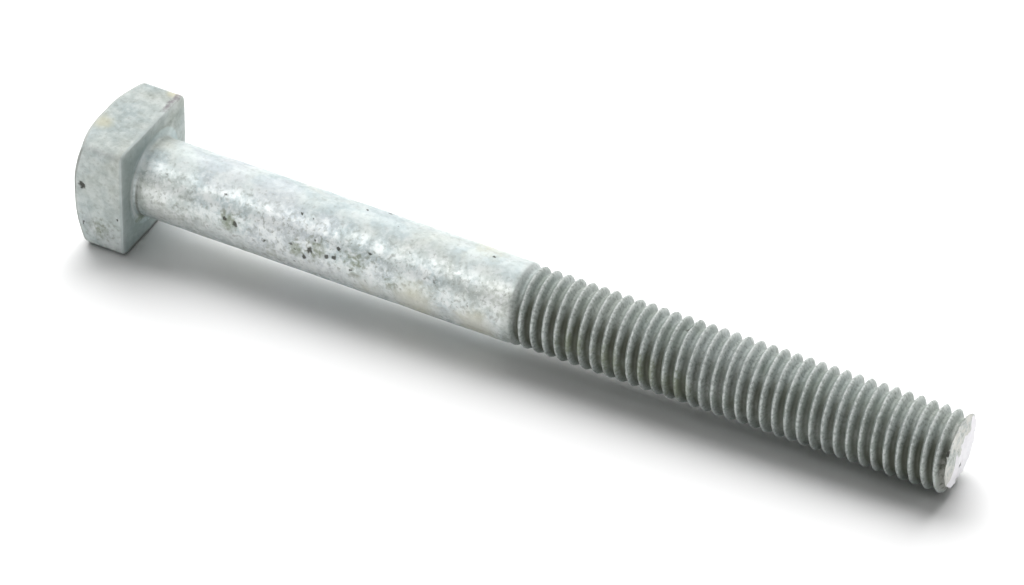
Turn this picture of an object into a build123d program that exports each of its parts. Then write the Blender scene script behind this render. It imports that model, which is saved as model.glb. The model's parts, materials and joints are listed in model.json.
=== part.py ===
from build123d import *
import math
import os

os.makedirs("parts", exist_ok=True)

# Square head machine bolt, lying at rest on a level surface: the tip end of the thread and the lower
# edge of the bearing face touch z = 0, so its axis dips a little from the head (-X) to the tip (+X).
# Head, shank and thread are one forging. Everything is drawn on an upright axis first, with the
# bearing face at z = 0, the head below it and the tip at z = length_under_head, and then laid down.

# Driving dimensions, in millimetres and degrees
shank_diameter = 12.7
length_under_head = 133.35
underhead_fillet = 0.6

head_width = 19.05
head_height = 8.6
head_corner_radius = 0.8
bearing_edge_radius = 0.5
crown_diameter = 19.7
crown_slope = 26.0

thread_length = 71.0
thread_diameter = 12.5
thread_pitch = 25.4 / 13
thread_depth = 1.1
flank_angle = 30.0
runout_length = 2.8
# how far in from the end the last crest stands, on the side that the bolt lies on
last_crest_inset = 0.95

# Sizes that follow from them
shank_radius = shank_diameter / 2
thread_radius = thread_diameter / 2
root_radius = thread_radius - thread_depth
thread_start = length_under_head - thread_length
flank_run = thread_depth * math.tan(math.radians(flank_angle))
crest_width = (thread_pitch - 2 * flank_run) / 2
crest_middle = flank_run + crest_width / 2
last_low_crest = length_under_head - last_crest_inset


def square_head():
    """Square block with soft upright corners, a soft bearing edge and a conical crown."""
    outline = fillet(Rectangle(head_width, head_width).vertices(), head_corner_radius)
    block = extrude(outline, -head_height)
    bearing_edges = block.faces().sort_by(Axis.Z)[-1].edges()
    block = fillet(bearing_edges, bearing_edge_radius)
    crown_radius = crown_diameter / 2
    rim_radius = head_width
    crown_drop = (rim_radius - crown_radius) * math.tan(math.radians(crown_slope))
    envelope = Polyline(
        (0, 0),
        (0, -head_height),
        (crown_radius, -head_height),
        (rim_radius, crown_drop - head_height),
        (rim_radius, head_height),
        (0, head_height),
        close=True,
    )
    return block & revolve(Plane.XZ * make_face(envelope), axis=Axis.Z)


def shank():
    """Plain round shank, its fillet under the head and the cone where the thread groove runs out."""
    fillet_top = shank_radius + underhead_fillet
    fillet_middle = underhead_fillet * (1 - math.cos(math.pi / 4))
    inside_head = -head_height / 2
    profile = (
        Polyline((shank_radius, underhead_fillet), (shank_radius, thread_start),
                 (root_radius, thread_start + runout_length), (0, thread_start + runout_length),
                 (0, inside_head), (fillet_top, inside_head), (fillet_top, 0))
        + ThreePointArc((fillet_top, 0), (shank_radius + fillet_middle, fillet_middle),
                        (shank_radius, underhead_fillet))
    )
    return revolve(Plane.XZ * make_face(profile), axis=Axis.Z)


def thread():
    """Threaded length as exact right-hand helicoids: flank, crest, flank and root, turn by turn.

    The turns run past both ends of the thread, where each end is closed by a helicoid and a step,
    and are then cut square to length.
    """
    profile = [(root_radius, 0), (thread_radius, flank_run),
               (thread_radius, flank_run + crest_width), (root_radius, 2 * flank_run + crest_width)]
    turns = math.ceil(thread_length / thread_pitch) + 4
    first_turn = last_low_crest - crest_middle - (turns - 2) * thread_pitch

    def turn_start(turn):
        return first_turn + turn * thread_pitch

    def helices(turn):
        return [Helix(thread_pitch, thread_pitch, radius, center=(0, 0, turn_start(turn) + rise)).edge()
                for radius, rise in profile]

    def end_cap(turn, root_helix):
        bottom = turn_start(turn)
        centre_line = Line((0, 0, bottom), (0, 0, bottom + thread_pitch)).edge()
        step = [(0, 0, bottom)]
        step += [(radius, 0, bottom + rise) for radius, rise in profile]
        step += [(root_radius, 0, bottom + thread_pitch), (0, 0, bottom + thread_pitch)]
        return [Face.make_surface_from_curves(centre_line, root_helix),
                Face(Wire.make_polygon(step, close=True))]

    rows = [helices(turn) for turn in range(turns + 1)]
    faces = end_cap(0, rows[0][0]) + end_cap(turns, rows[turns][0])
    for row, next_row in zip(rows, rows[1:]):
        edges = row + [next_row[0]]
        faces += [Face.make_surface_from_curves(low, high) for low, high in zip(edges, edges[1:])]
    long_thread = Solid(Shell(faces))
    kept_length = Pos(0, 0, thread_start + thread_length / 2) * Box(
        2 * thread_diameter, 2 * thread_diameter, thread_length)
    return kept_length & long_thread


def lie_down(bolt):
    """Turn the axis to +X, tip it until heel and toe both touch z = 0, and centre it on the origin."""
    reach = last_low_crest + bearing_edge_radius
    fall = head_width / 2 - bearing_edge_radius - thread_radius
    dip = math.asin(bearing_edge_radius / math.hypot(reach, fall)) + math.atan2(fall, reach)
    axis_height = last_low_crest * math.sin(dip) + thread_radius * math.cos(dip)
    laid = Pos(0, 0, axis_height) * Rot(0, 90 + math.degrees(dip), 0) * bolt
    box = laid.bounding_box()
    print("dip_deg", round(math.degrees(dip), 4), "axis_height_mm", round(axis_height, 4),
          "bearing_face_x_mm", round(-box.center().X, 4))
    return Pos(-box.center().X, 0, 0) * laid


bolt = lie_down(square_head() + shank() + thread())
export_step(bolt, "parts/square_head_bolt.step")
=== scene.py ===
import json
import math

import bmesh
import bpy
from mathutils import Matrix, Vector, noise


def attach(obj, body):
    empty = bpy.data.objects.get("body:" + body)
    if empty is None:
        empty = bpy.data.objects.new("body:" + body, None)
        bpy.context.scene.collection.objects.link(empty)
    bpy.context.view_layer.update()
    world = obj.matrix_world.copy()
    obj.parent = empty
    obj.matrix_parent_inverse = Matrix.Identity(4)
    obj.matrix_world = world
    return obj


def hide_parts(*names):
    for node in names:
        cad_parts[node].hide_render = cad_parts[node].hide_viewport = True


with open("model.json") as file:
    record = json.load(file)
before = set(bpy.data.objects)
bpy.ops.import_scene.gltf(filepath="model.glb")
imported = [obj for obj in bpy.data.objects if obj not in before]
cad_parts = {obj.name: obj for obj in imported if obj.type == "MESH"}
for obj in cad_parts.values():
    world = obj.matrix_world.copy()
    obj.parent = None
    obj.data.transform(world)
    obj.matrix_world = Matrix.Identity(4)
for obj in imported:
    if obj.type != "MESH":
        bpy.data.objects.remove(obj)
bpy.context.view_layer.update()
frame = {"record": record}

MM = 0.001

# ---------------------------------------------------------------------------------------------
# Lie of the bolt. It rests on the heel of its head and the toe of its thread, so its axis dips
# a little towards the tip. The whole bolt is shaped along the X axis in millimetres, bearing
# face at x = 0 and flats square to Y and Z, and one matrix scales it and lays it down.
mounts = {mount["name"]: mount for mount in frame["record"]["mounts"]}
bolt_axis = Vector(mounts["thread"]["axis"]).normalized()
tip_centre = Vector(mounts["thread"]["pos_m"])
under_head = Vector(mounts["under_head"]["pos_m"])
bolt_length = (tip_centre - under_head).dot(bolt_axis) / MM
bearing_centre = tip_centre - bolt_axis * bolt_length * MM
sideways = Vector((0, 1, 0))
turned = Matrix((bolt_axis, sideways, bolt_axis.cross(sideways))).transposed().to_4x4()
laid_down = Matrix.Translation(bearing_centre) @ turned @ Matrix.Scale(MM, 4)

# ---------------------------------------------------------------------------------------------
# Forging: head, fillet and plain shank. The end of a round bar is upset hot in a square die, so
# corners and edges are soft and the crown is a shallow cone that cuts arcs into the side faces.
# It is turned as a disc on a shank first, and then the disc's rim is pushed out to the square.
flat_left = Vector(mounts["wrench_flat_left"]["pos_m"])
flat_right = Vector(mounts["wrench_flat_right"]["pos_m"])
half_width = (flat_left - flat_right).length / 2 / MM
shank_radius = mounts["shank"]["dims"]["r_mm"]
thread_length = mounts["thread"]["dims"]["length_mm"]
thread_start = bolt_length - thread_length
head_height = 8.6
head_corner = 1.3
crown_radius = 9.85
crown_slope = math.tan(math.radians(26))
fillet_radius = 0.6
fillet_outer = shank_radius + fillet_radius
pitch = 25.4 / 13
plain_end = thread_start - 0.3 * pitch
quarter = math.pi / 2
tiny = 1e-4
# Fineness of the mesh: columns round the axis, and cuts along each line of the half section.
columns = 144
crown_cuts, side_cuts, bearing_cuts, shank_cuts = 23, 25, 17, 221
fillet_steps = 5
smoothing_passes = 4


def chain(bm, points, cuts):
    """Edges from point to point, each divided by its own number of cuts."""
    verts = [bm.verts.new(point) for point in points]
    edges = [bm.edges.new(pair) for pair in zip(verts, verts[1:])]
    for count in sorted(set(cuts) - {0}):
        chosen = [edge for edge, wanted in zip(edges, cuts) if wanted == count]
        bmesh.ops.subdivide_edges(bm, edges=chosen, cuts=count)
    return bm.verts[:] + bm.edges[:]


def parts_of(geometry, kind):
    """Only the vertices, only the edges or only the faces of some geometry."""
    return [part for part in geometry if isinstance(part, kind)]


forging = bmesh.new()
half_section = [(-head_height, 0), (-head_height, half_width), (0, half_width)]
for step in range(fillet_steps + 1):
    turn = quarter * step / fillet_steps
    half_section.append((fillet_radius * (1 - math.cos(turn)),
                         fillet_outer - fillet_radius * math.sin(turn)))
half_section.append((plain_end, shank_radius))
section_cuts = [crown_cuts, side_cuts, bearing_cuts] + [0] * fillet_steps + [shank_cuts]
section_line = chain(forging, [(x, 0, -radius) for x, radius in half_section], section_cuts)
bmesh.ops.spin(forging, geom=section_line, cent=(0, 0, 0), axis=(1, 0, 0), dvec=(0, 0, 0),
               angle=2 * math.pi, steps=columns, use_merge=True, use_duplicate=False)
bmesh.ops.remove_doubles(forging, verts=forging.verts, dist=tiny)


def square_rim(angle):
    """Rim radius of the soft-cornered square on a column, and how far the column is turned
    towards its corner, where the columns stand closer together."""
    local = (angle + quarter / 2) % quarter - quarter / 2
    share = 2 * local / quarter
    along = 0.6 * share + 0.4 * math.sin(share * quarter)
    moved = math.atan(along)
    inner = half_width - head_corner
    if abs(along) * half_width <= inner:
        return half_width / math.cos(moved), moved - local
    ahead = inner * (math.cos(moved) + abs(math.sin(moved)))
    return ahead + math.sqrt(ahead ** 2 - 2 * inner ** 2 + head_corner ** 2), moved - local


def crown_drop(radius):
    """How far the crown's cone has fallen away from its flat top at a radius."""
    return max(0.0, radius - crown_radius) * crown_slope


for vert in forging.verts:
    x, radius = vert.co.x, math.hypot(vert.co.y, vert.co.z)
    if x > tiny or radius < tiny or (x > -tiny and radius < fillet_outer + tiny):
        continue
    angle = math.atan2(vert.co.z, vert.co.y)
    rim, shift = square_rim(angle)
    if x < tiny - head_height:
        radius *= rim / half_width
        x = crown_drop(radius) - head_height
    elif x < -tiny:
        x *= 1 - crown_drop(rim) / head_height
        radius = rim
    else:
        share = (radius - fillet_outer) / (half_width - fillet_outer)
        radius = fillet_outer + share * (rim - fillet_outer)
        shift *= share
    vert.co = (x, radius * math.cos(angle + shift), radius * math.sin(angle + shift))

head_verts = [vert for vert in forging.verts if vert.co.x < tiny]
for _ in range(smoothing_passes):
    bmesh.ops.smooth_vert(forging, verts=head_verts, factor=0.5,
                          use_axis_x=True, use_axis_y=True, use_axis_z=True)

# ---------------------------------------------------------------------------------------------
# Thread. A right-hand coarse thread, its crests and roots rounded by the zinc. The outline of one
# tooth climbs once round the axis and is repeated turn by turn. The groove runs out into the
# shank, and the tip is sheared off square, so the last crest is cut where it happens to be.
thread_radius = mounts["thread"]["dims"]["r_mm"]
thread_depth = 1.1
root_radius = thread_radius - thread_depth
last_crest_inset = 0.95
last_low_crest = bolt_length - last_crest_inset
runout = 1.3 * pitch
bridged_gap = 0.2 * pitch
tip_rings = 14
spare_turns = 3
# Outline of one tooth: its shares of the pitch along the axis and of the depth outwards.
tooth = [(0, 0), (0.13, 0.12), (0.28, 0.58), (0.41, 0.93), (0.5, 1),
         (0.59, 0.93), (0.72, 0.58), (0.87, 0.12), (1, 0)]
turns = math.ceil(thread_length / pitch) + spare_turns
# A crest stands half a pitch into its turn, and one more turn follows the last low crest.
first_turn = last_low_crest - (turns - 1.5) * pitch


def clamp(value):
    return min(1.0, max(0.0, value))


def as_mesh(bm, name):
    mesh = bpy.data.meshes.new(name)
    bm.to_mesh(mesh)
    bm.free()
    return mesh


coil = bmesh.new()
tooth_line = chain(coil, [(first_turn + pitch * along, 0, -root_radius - thread_depth * rise)
                          for along, rise in tooth], [0] * (len(tooth) - 1))
bmesh.ops.spin(coil, geom=tooth_line, cent=(0, 0, 0), axis=(1, 0, 0), dvec=(pitch / columns, 0, 0),
               angle=2 * math.pi, steps=columns, use_merge=False, use_duplicate=False)
one_turn = coil.verts[:] + coil.edges[:] + coil.faces[:]
for turn in range(1, turns):
    copied = bmesh.ops.duplicate(coil, geom=one_turn)["geom"]
    bmesh.ops.translate(coil, verts=parts_of(copied, bmesh.types.BMVert), vec=(turn * pitch, 0, 0))
bmesh.ops.remove_doubles(coil, verts=coil.verts, dist=tiny)

for vert in coil.verts:
    share = clamp((vert.co.x - thread_start) / runout)
    cut = share * share * (3 - 2 * share)
    radius = math.hypot(vert.co.y, vert.co.z)
    growth = (shank_radius + (radius - shank_radius) * cut) / radius
    vert.co.yz = (vert.co.y * growth, vert.co.z * growth)

for place, outward in ((plain_end + bridged_gap, -1), (bolt_length, 1)):
    cut_end = bmesh.ops.bisect_plane(coil, geom=coil.verts[:] + coil.edges[:] + coil.faces[:],
                                     dist=tiny, plane_co=(place, 0, 0), plane_no=(outward, 0, 0),
                                     clear_outer=True, clear_inner=False)
rim_edges = parts_of(cut_end["geom_cut"], bmesh.types.BMEdge)
for ring in range(tip_rings, 0, -1):
    grown = bmesh.ops.extrude_edge_only(coil, edges=rim_edges)["geom"]
    rim_edges = parts_of(grown, bmesh.types.BMEdge)
    inwards = (ring - 1) / ring
    bmesh.ops.scale(coil, verts=parts_of(grown, bmesh.types.BMVert), vec=(1, inwards, inwards))
bmesh.ops.remove_doubles(coil, verts=coil.verts, dist=tiny)

coil_mesh = as_mesh(coil, "coil")
forging.from_mesh(coil_mesh)
bpy.data.meshes.remove(coil_mesh)
bmesh.ops.bridge_loops(forging, edges=[edge for edge in forging.edges if edge.is_boundary])
bmesh.ops.recalc_face_normals(forging, faces=forging.faces)

# ---------------------------------------------------------------------------------------------
# Zinc skin. The forging is hot-dip galvanised: the zinc freezes in low lumps, leaves pits where
# scale or ash sat, and is thin over the ragged edge of the sheared tip. Heights are worked into
# the mesh, and what the finish needs to know of each point is kept as attributes.
sheared_reach = 1.6
mid_thread = thread_radius - thread_depth / 2
# Pits of the shank: place along the axis, angle round it from +Y in degrees, radius and depth.
shank_pits = [(15.7, 163, 0.34, 0.10), (17.6, 166, 0.40, 0.08), (14.8, 130, 0.22, 0.05),
              (27.2, 166, 0.28, 0.08), (27.9, 173, 0.22, 0.07), (30.3, 166, 0.46, 0.20),
              (29.5, 180, 0.34, 0.10), (27.7, 195, 0.26, 0.08), (33.2, 167, 0.40, 0.16),
              (34.4, 165, 0.36, 0.14), (31.0, 150, 0.22, 0.06), (34.9, 150, 0.26, 0.08),
              (40.0, 142, 0.26, 0.07), (39.1, 60, 0.40, 0.12), (36.0, 77, 0.24, 0.06),
              (42.0, 89, 0.24, 0.06), (43.4, 164, 0.28, 0.08), (27.5, 121, 0.20, 0.05),
              (29.5, 122, 0.20, 0.05), (57.8, 84, 0.34, 0.05), (22.0, 300, 0.40, 0.12),
              (24.0, 312, 0.26, 0.08), (47.0, 20, 0.34, 0.10), (11.0, 340, 0.30, 0.08),
              (52.0, 268, 0.30, 0.08), (36.0, 330, 0.26, 0.08), (22.6, 176, 0.26, 0.06),
              (37.4, 176, 0.30, 0.06)]


def around(radius, rows):
    """The rows with their first two numbers, a place along the axis and an angle round it, made
    into one point at a radius."""
    placed = []
    for x, degrees, *rest in rows:
        turn = math.radians(degrees)
        placed.append((Vector((x, radius * math.cos(turn), radius * math.sin(turn))), *rest))
    return placed


# All pits: middle, radius and depth. Those of the head, of a thread crest and of the tip follow.
pits = around(shank_radius, shank_pits)
pits += [(Vector((-7.2, -half_width, 1.7)), 0.62, 0.34),
         (Vector((-7.0, -half_width, -5.2)), 0.3, 0.12),
         (Vector((-1.1, -half_width, -2.7)), 0.26, 0.08),
         (Vector((-3.0, half_width, 4.0)), 0.4, 0.2)]
pits += around(mid_thread, [(89.8, 84, 0.6, 0.3)])
pits += [(Vector((bolt_length, -4.6, 3.4)), 0.5, 0.35),
         (Vector((bolt_length, -5.6, 2.4)), 0.35, 0.25),
         (Vector((bolt_length, 1.2, -2.9)), 0.4, 0.3)]
# Stains: middle, radius and strength. Olive is grime, straw is flux, plum is bare scale.
stains = {
    "olive": around(shank_radius, [
        (16.5, 166, 2.6, 0.9), (28.0, 172, 2.6, 0.8), (31.5, 163, 3.6, 0.7),
        (38.0, 161, 4.6, 0.55), (44.0, 178, 3.0, 0.5), (8.0, 186, 3.0, 0.6),
        (24.0, 196, 3.5, 0.6), (33.0, 300, 6.0, 0.6), (52.0, 30, 5.0, 0.5)])
    + around(mid_thread, [
        (74, 172, 4.5, 0.9), (80, 178, 4.5, 0.9), (86, 175, 4.5, 0.9), (91, 186, 4.5, 0.9)])
    + [(Vector((0.2, -4.4, -4.6)), 2.2, 1.0), (Vector((-4.0, -half_width, -5.5)), 4.0, 0.6)],
    "straw": around(shank_radius, [
        (48.0, 196, 6.0, 0.9), (58.0, 201, 5.0, 1.0), (40.0, 200, 4.0, 0.5),
        (56.0, 60, 7.0, 0.5), (20.0, 240, 6.0, 0.5)])
    + [(Vector((-7.2, -2.8, half_width)), 2.8, 0.9), (Vector((-1.4, 8.6, half_width)), 1.8, 1.0)],
    "plum": [
        (Vector((-0.6, 4.2 + 0.8 * step, half_width)), 1.0, 0.6 + 0.1 * (step % 3) + 0.05 * step)
        for step in range(7)],
}


def lumps(place):
    return noise.noise(place * 0.85 + Vector((7, 3, 1)))


def zinc_push(place, threaded, near_tip):
    """How far a point is pushed outwards, and how close it is to the middle of a pit."""
    broad = noise.noise(place * 0.23)
    lump = lumps(place)
    grain = noise.noise(place * 2.1 + Vector((2, 9, 4)))
    push = 0.05 * (broad - 0.8) + 0.03 * (lump - 0.6) + 0.016 * (grain - 0.6)
    if threaded > 0:
        push = 0.035 * (lump - 0.7) + 0.03 * (grain - 0.7)
    if near_tip > 0:
        push -= 0.30 * near_tip * max(0.0, lump + 0.25) + 0.24 * near_tip * max(0.0, grain + 0.1)
    closeness = 0.0
    wavered = place + 0.22 * noise.noise_vector(place * 1.9)
    for centre, size, depth in pits:
        away = (wavered - centre).length / size
        if away < 2:
            push -= depth * (1 - away * away / 4) ** 2
            closeness = max(closeness, 1 - away / 2)
    return push, closeness


# The seed fixes how the outlines of the pits waver, which would otherwise differ in each run.
noise.seed_set(5)
forging.normal_update()
marks = {name: forging.verts.layers.float.new(name) for name in (
    "root", "pit", "edge", "thread", "tip", "head", "olive", "straw", "plum", "speckle",
    "bearing", "tip_glare")}


def mark_head(vert, place, radius, below):
    """Painted shade at the crown's rim, a painted contact shadow along the lower edge on the
    floor, painted shade in a ring round the fillet and on the bearing face, bluer and darker
    towards its near edge, and pale edges that are partly wear and partly painted highlight."""
    from_crown = max(0.0, place.x + head_height - crown_drop(radius))
    from_side = half_width - max(abs(place.y), abs(place.z))
    from_floor = max(0.0, place.z + half_width - 0.3)
    from_rim = min(math.hypot(from_crown, from_side),
                   math.hypot(from_floor, min(-place.x, from_crown, half_width - abs(place.y))))
    # Painted shade at the crown's rim, and a painted contact shadow along the lower edge resting
    # on the floor.
    vert[marks["root"]] = math.exp(-max(0.0, from_rim - 0.2) / 0.4)
    if place.x > -0.4:
        # Painted shade in a ring on the bearing face round the fillet, deeper below.
        ring_shade = 0.7 * below * math.exp(-abs(radius - fillet_outer - 0.5) / 0.25)
        vert[marks["root"]] = max(ring_shade, vert[marks["root"]])
        # Painted shade on the bearing face, darker towards its near edge.
        vert[marks["bearing"]] = clamp(0.7 - place.y / 14)
    to_faces = sorted((-place.x, from_crown, half_width - abs(place.y),
                       half_width - abs(place.z)))
    # Pale edges, partly wear and partly painted highlight.
    vert[marks["edge"]] = math.exp(-abs(to_faces[1]) / 0.45)


def mark_fillet(vert, place, radius, angle, below):
    """A painted highlight in an arc where the fillet meets the bearing face, on the side towards
    the camera, painted shade on its lower side, and the bearing face's painted shade carried onto
    its foot.
    """
    faces_left = clamp(min((angle - 92) / 25, (228 - angle) / 15))
    # Painted highlight in an arc round the fillet's outer edge.
    vert[marks["edge"]] = 2.2 * faces_left * math.exp(-abs(radius - fillet_outer + 0.1) / 0.16)
    # Painted shade on the fillet's lower side.
    vert[marks["root"]] = below * math.exp(-abs(place.x - 0.5) / 0.3)
    vert[marks["bearing"]] = clamp((0.5 - place.x) / 0.35)


pushes = {}
for vert in forging.verts:
    place = vert.co.copy()
    radius = math.hypot(place.y, place.z)
    angle = math.degrees(math.atan2(place.z, place.y)) % 360
    threaded = clamp((place.x - thread_start) / runout)
    at_tip = place.x > bolt_length - tiny
    near_tip = clamp((place.x - bolt_length + sheared_reach) / sheared_reach)
    push, closeness = zinc_push(place, threaded, near_tip)
    for name, spots in stains.items():
        vert[marks[name]] = max(strength * max(0.0, 1 - (place - centre).length / size)
                                for centre, size, strength in spots)
    # How low a point lies and how near the camera's side it is: the painted shade deepens with it.
    below = clamp(0.35 - place.z / 9 - place.y / 9)
    depth_share = clamp((thread_radius - radius) / thread_depth)
    # Painted shade down in the thread's roots, deepest on the lower side towards the camera.
    root_shade = threaded * min(1.0, depth_share * (0.6 + 0.8 * below))
    vert[marks["root"]] = 0.0 if at_tip else root_shade
    vert[marks["pit"]] = closeness
    vert[marks["thread"]] = threaded
    vert[marks["tip"]] = 1.0 if at_tip else near_tip * 0.6
    vert[marks["head"]] = 1.0 if place.x < tiny else 0.0
    # Painted reflection of the white floor on the lower, far part of the tip face.
    if at_tip:
        reflection_side = 0.62 * place.y - 0.785 * place.z + 0.5 + 1.4 * lumps(place)
        vert[marks["tip_glare"]] = clamp(reflection_side / 0.9)
    turned_down = clamp((angle - 100) / 35)
    vert[marks["speckle"]] = 0.5 if place.x < tiny else 0.35 + 0.65 * turned_down
    # A pale band along the shank's lower side towards the camera: a painted reflection of the
    # white floor.
    if 1 < place.x < thread_start:
        vert[marks["edge"]] = math.exp(-((angle - 196) / 16) ** 2)
    if place.x < tiny and radius > fillet_outer:
        mark_head(vert, place, radius, below)
    elif -tiny < place.x < 2:
        mark_fillet(vert, place, radius, angle, below)
    pushes[vert] = vert.normal * push
for vert, push in pushes.items():
    vert.co += push
    vert.co.x = min(vert.co.x, bolt_length)


def in_scene(name, data):
    thing = bpy.data.objects.new(name, data)
    bpy.context.scene.collection.objects.link(thing)
    return thing


forging.transform(laid_down)
bolt_mesh = as_mesh(forging, "galvanised_bolt")
bolt_mesh.polygons.foreach_set("use_smooth", [True] * len(bolt_mesh.polygons))
bolt = in_scene("galvanised_bolt", bolt_mesh)
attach(bolt, "root")
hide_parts("square_head_bolt")

# ---------------------------------------------------------------------------------------------
# Finish of the zinc: pale dull metal in patches of bluish and warm white, mottled darker at a
# millimetre or two, specked with ash and greyer on the thread. Shade and light are painted in too:
# dark in the thread's roots, at the head's rims and round the fillet, darker on the bearing face,
# pale on crests and edges, and reflections on the shank's underside and the tip.
zinc = bpy.data.materials.new("hot_dip_zinc")
zinc.use_nodes = True
nodes, links = zinc.node_tree.nodes, zinc.node_tree.links
shader = nodes["Principled BSDF"]
surface_place = nodes.new("ShaderNodeTexCoord").outputs["Object"]


def cloud_noise(scale, detail, roughness, distortion=0.0, shift=0.0):
    place = surface_place
    if shift:
        move = nodes.new("ShaderNodeMapping")
        move.inputs["Location"].default_value = (shift, shift * 0.7, shift * 0.4)
        links.new(surface_place, move.inputs["Vector"])
        place = move.outputs["Vector"]
    cloud = nodes.new("ShaderNodeTexNoise")
    cloud.inputs["Scale"].default_value = scale
    cloud.inputs["Detail"].default_value = detail
    cloud.inputs["Roughness"].default_value = roughness
    cloud.inputs["Distortion"].default_value = distortion
    links.new(place, cloud.inputs["Vector"])
    return cloud.outputs["Fac"]


def stretch(value, low, high, to_low=0.0, to_high=1.0):
    ranged = nodes.new("ShaderNodeMapRange")
    ranged.interpolation_type = "SMOOTHSTEP"
    ends = {"From Min": low, "From Max": high, "To Min": to_low, "To Max": to_high}
    for name, number in ends.items():
        ranged.inputs[name].default_value = number
    links.new(value, ranged.inputs["Value"])
    return ranged.outputs["Result"]


def combine(operation, first, second):
    sum_node = nodes.new("ShaderNodeMath")
    sum_node.operation = operation
    for socket, value in zip(sum_node.inputs, (first, second)):
        if isinstance(value, float):
            socket.default_value = value
        else:
            links.new(value, socket)
    return sum_node.outputs["Value"]


def times(first, second):
    return combine("MULTIPLY", first, second)


def plus(first, second):
    return combine("ADD", first, second)


def tint(under, over, amount):
    mix = nodes.new("ShaderNodeMix")
    mix.data_type = "RGBA"
    for name, value in (("Factor", amount), ("A", under), ("B", over)):
        socket = [part for part in mix.inputs if part.name == name and part.enabled][0]
        if isinstance(value, tuple):
            socket.default_value = (*value, 1)
        elif isinstance(value, float):
            socket.default_value = value
        else:
            links.new(value, socket)
    return [part for part in mix.outputs if part.enabled][0]


def kept(name):
    attribute = nodes.new("ShaderNodeAttribute")
    attribute.attribute_name = name
    return attribute.outputs["Fac"]


patches = cloud_noise(170, 4, 0.55, 0.4)
mottle = cloud_noise(560, 4, 0.62, 0.2, shift=0.31)
grain_marks = cloud_noise(1500, 3, 0.55, 0.3, shift=0.12)
grit = cloud_noise(2100, 3, 0.5, shift=0.45)
ash = cloud_noise(1000, 4, 0.65, 0.2, shift=0.57)
warmth = cloud_noise(75, 3, 0.5, 0.3, shift=0.83)
in_thread, hollow_shade, in_pit, wear_and_highlight = (kept(name) for name in ("thread", "root", "pit", "edge"))
on_tip, on_head, in_olive, in_straw = (kept(name) for name in ("tip", "head", "olive", "straw"))
in_plum, speckled, bearing_shade = kept("plum"), kept("speckle"), kept("bearing")


def speckle(value, low, high, most):
    return times(speckled, stretch(value, low, high, 0.0, most))


# Zinc in bluish, warm and lilac patches, then mottle, flecks and ash.
colour = tint((0.63, 0.69, 0.68), (0.52, 0.595, 0.605), stretch(patches, 0.42, 0.60))
colour = tint(colour, (0.60, 0.60, 0.52), stretch(warmth, 0.50, 0.70, 0.0, 0.5))
colour = tint(colour, (0.62, 0.62, 0.67), stretch(warmth, 0.47, 0.36, 0.0, 0.3))
colour = tint(colour, (0.36, 0.395, 0.38), speckle(mottle, 0.50, 0.70, 0.5))
colour = tint(colour, (0.82, 0.85, 0.84), speckle(mottle, 0.54, 0.36, 0.7))
colour = tint(colour, (0.28, 0.30, 0.27), speckle(grain_marks, 0.53, 0.66, 0.5))
colour = tint(colour, (0.84, 0.86, 0.85), speckle(grain_marks, 0.46, 0.34, 0.5))
colour = tint(colour, (0.12, 0.12, 0.10), speckle(ash, 0.63, 0.71, 0.6))
# Painted shade on the bearing face, bluish; a greyer head; and the thread: grey, gritty, patchy,
# with painted highlights on its crests.
colour = tint(colour, (0.29, 0.39, 0.40), times(bearing_shade, 0.55))
colour = tint(colour, (0.34, 0.37, 0.33), times(on_head, 0.25))
colour = tint(colour, (0.35, 0.39, 0.37), times(in_thread, 0.7))
gritty = times(in_thread, stretch(grit, 0.48, 0.64, 0.0, 0.45))
colour = tint(colour, (0.15, 0.165, 0.145), gritty)
patchy = times(in_thread, stretch(patches, 0.46, 0.62, 0.0, 0.5))
colour = tint(colour, (0.27, 0.31, 0.27), patchy)
# Painted highlight along the thread's crests, wider on the upper side.
crest_highlight = times(in_thread, stretch(hollow_shade, 0.34, 0.02))
colour = tint(colour, (0.60, 0.63, 0.61), times(crest_highlight, stretch(grit, 0.42, 0.60, 0.95, 0.3)))
# Straw, olive and plum stains, and near-black painted shade in the roots and corners.
strawed = stretch(plus(in_straw, times(mottle, 0.7)), 0.45, 1.1, 0.0, 0.6)
colour = tint(colour, (0.66, 0.63, 0.46), strawed)
soiled = stretch(plus(in_olive, times(grain_marks, 1.3)), 0.85, 1.45, 0.0, 0.75)
colour = tint(colour, (0.23, 0.26, 0.18), soiled)
scaled = stretch(plus(in_plum, times(grain_marks, 1.4)), 0.90, 1.5, 0.0, 0.8)
colour = tint(colour, (0.22, 0.19, 0.21), scaled)
# Painted shade, near black: in the thread's roots, at the crown's rim, along the head's lower edge
# and round the fillet.
painted_shade = times(stretch(hollow_shade, 0.36, 0.95), stretch(warmth, 0.35, 0.6, 0.6, 1.0))
colour = tint(colour, (0.06, 0.066, 0.04), times(painted_shade, 0.92))
# The sheared tip with a painted reflection of the floor on it, pale edges of wear and painted
# highlight, and the pits.
colour = tint(colour, (0.66, 0.66, 0.62), times(on_tip, stretch(mottle, 0.56, 0.44, 0.1, 0.95)))
# Painted reflection of the white floor on the tip face, lower and far side.
tip_reflection = plus(kept("tip_glare"), times(mottle, 0.9))
colour = tint(colour, (0.90, 0.89, 0.92), stretch(tip_reflection, 0.75, 1.25, 0.0, 0.9))
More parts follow.
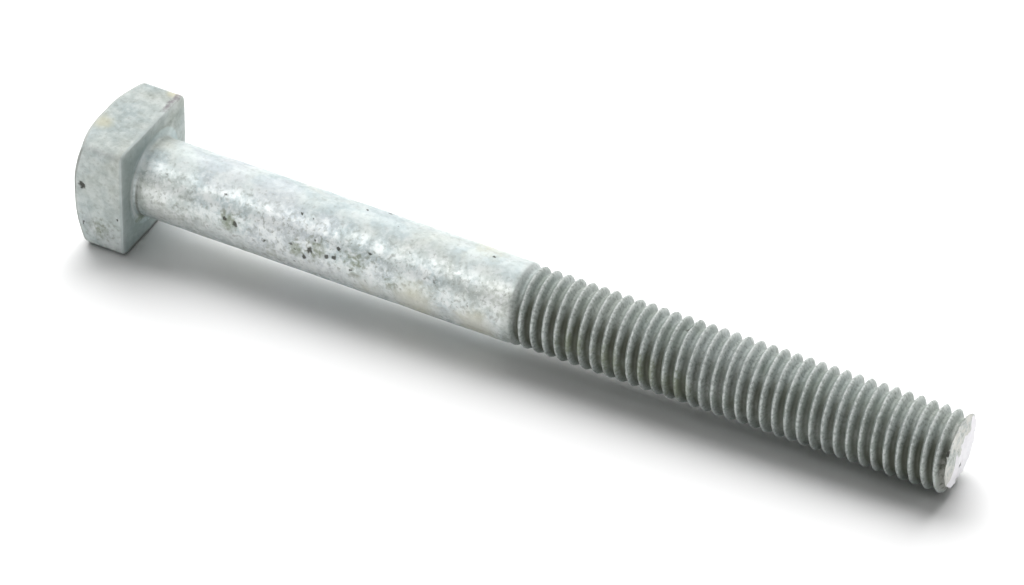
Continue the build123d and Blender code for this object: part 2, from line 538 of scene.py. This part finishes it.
# Pale edges of wear and painted highlight, a painted highlight round the fillet and a painted
# reflection along the shank's underside.
colour = tint(colour, (0.88, 0.90, 0.89), times(wear_and_highlight, 0.45))
stained = plus(in_pit, times(grain_marks, 0.7))
colour = tint(colour, (0.06, 0.06, 0.05), stretch(stained, 0.70, 1.0, 0.0, 0.92))
links.new(colour, shader.inputs["Base Color"])
links.new(stretch(painted_shade, 0.0, 0.6, 0.6, 0.0), shader.inputs["Metallic"])
duller = plus(times(in_thread, 0.12), times(on_head, 0.3))
links.new(plus(stretch(mottle, 0.3, 0.7, 0.38, 0.52), duller), shader.inputs["Roughness"])

bump = nodes.new("ShaderNodeBump")
bump.inputs["Strength"].default_value = 0.6
bump.inputs["Distance"].default_value = 0.12 * MM
heights = plus(times(mottle, speckled), times(grain_marks, 0.5))
links.new(heights, bump.inputs["Height"])
links.new(bump.outputs["Normal"], shader.inputs["Normal"])
bolt_mesh.materials.append(zinc)

# ---------------------------------------------------------------------------------------------
# Stage: a plain white floor, a large soft light behind and above, weak ones overhead, low in
# front and by the tip, two panels seen only as reflections in the metal, and the camera.
floor_reach = 3
floor_shape = bmesh.new()
bmesh.ops.create_grid(floor_shape, x_segments=1, y_segments=1, size=floor_reach)
floor_mesh = as_mesh(floor_shape, "floor")
floor = in_scene("floor", floor_mesh)
floor_paint = bpy.data.materials.new("white_floor")
floor_paint.use_nodes = True
floor_shader = floor_paint.node_tree.nodes["Principled BSDF"]
floor_shader.inputs["Base Color"].default_value = (0.97, 0.97, 0.97, 1)
floor_shader.inputs["Roughness"].default_value = 1.0
floor_shader.inputs["Specular IOR Level"].default_value = 0.0
floor_mesh.materials.append(floor_paint)

# The room is white to the camera, a dull grey in reflections and almost dark as a light.
seen_light, mirrored_light, room_light = (1, 1, 1, 1), 0.64, 0.03
world = bpy.data.worlds.new("studio")
bpy.context.scene.world = world
world.use_nodes = True
sky, sky_links = world.node_tree.nodes, world.node_tree.links
rays = sky.new("ShaderNodeLightPath")
mirrored = sky.new("ShaderNodeMath")
mirrored.operation = "MULTIPLY_ADD"
sky_links.new(rays.outputs["Is Glossy Ray"], mirrored.inputs[0])
mirrored.inputs[1].default_value = mirrored_light
mirrored.inputs[2].default_value = room_light
level_light = sky.new("ShaderNodeMath")
level_light.operation = "MAXIMUM"
sky_links.new(rays.outputs["Is Camera Ray"], level_light.inputs[0])
sky_links.new(mirrored.outputs["Value"], level_light.inputs[1])
sky["Background"].inputs["Color"].default_value = seen_light
sky_links.new(level_light.outputs["Value"], sky["Background"].inputs["Strength"])

# The camera's turn about the upright, and how steeply it looks down.
swing, lift = math.radians(27.55), math.radians(38.41)
right = Vector((math.cos(swing), math.sin(swing), 0))
level = Vector((-math.sin(swing), math.cos(swing), 0))
forward = level * math.cos(lift) - Vector((0, 0, math.sin(lift)))
above = level * math.sin(lift) + Vector((0, 0, math.cos(lift)))


def softbox(name, place, width, height, power):
    """A rectangular lamp that faces the bolt, in metres and watts."""
    light = bpy.data.lights.new(name, "AREA")
    light.shape = "RECTANGLE"
    light.size, light.size_y = width, height
    light.energy = power
    lamp = in_scene(name, light)
    lamp.location = place
    lamp.rotation_euler = (-place).to_track_quat("-Z", "Y").to_euler()
    return lamp


back = softbox("back_softbox", level * 0.81 + Vector((0, 0, 0.9)), 1.6, 1.4, 35)
back.visible_glossy = False
sheen = softbox("sheen_softbox", level * 0.98 + Vector((0, 0, 0.66)), 1.8, 0.5, 2.6)
sheen.visible_diffuse = False
top = softbox("top_softbox", Vector((-0.25, -0.3, 0.92)), 0.6, 0.6, 1.2)
top.visible_glossy = False
strip = softbox("strip_softbox", Vector((-0.36, -0.46, 0.83)), 0.7, 0.45, 2.2)
strip.visible_diffuse = False
softbox("low_softbox", Vector((-0.35, -0.95, 0.05)), 0.6, 0.1, 0.6)
softbox("tip_softbox", Vector((0.17, 0.05, 0.05)), 0.08, 0.08, 0.02)

# Where the bearing face stands from the camera, in widths of the shank.
to_right, upwards, away = -4.269, 1.400, 61.34
shank_width = 2 * shank_radius * MM
camera_data = bpy.data.cameras.new("camera")
camera_data.sensor_width = 36
camera_data.lens = 180.5
camera = in_scene("camera", camera_data)
eye = bearing_centre - (right * to_right + above * upwards + forward * away) * shank_width
facing = Matrix((right, above, -forward)).transposed().to_4x4()
camera.matrix_world = Matrix.Translation(eye) @ facing
bpy.context.scene.camera = camera
bpy.context.scene.view_settings.view_transform = "Standard"
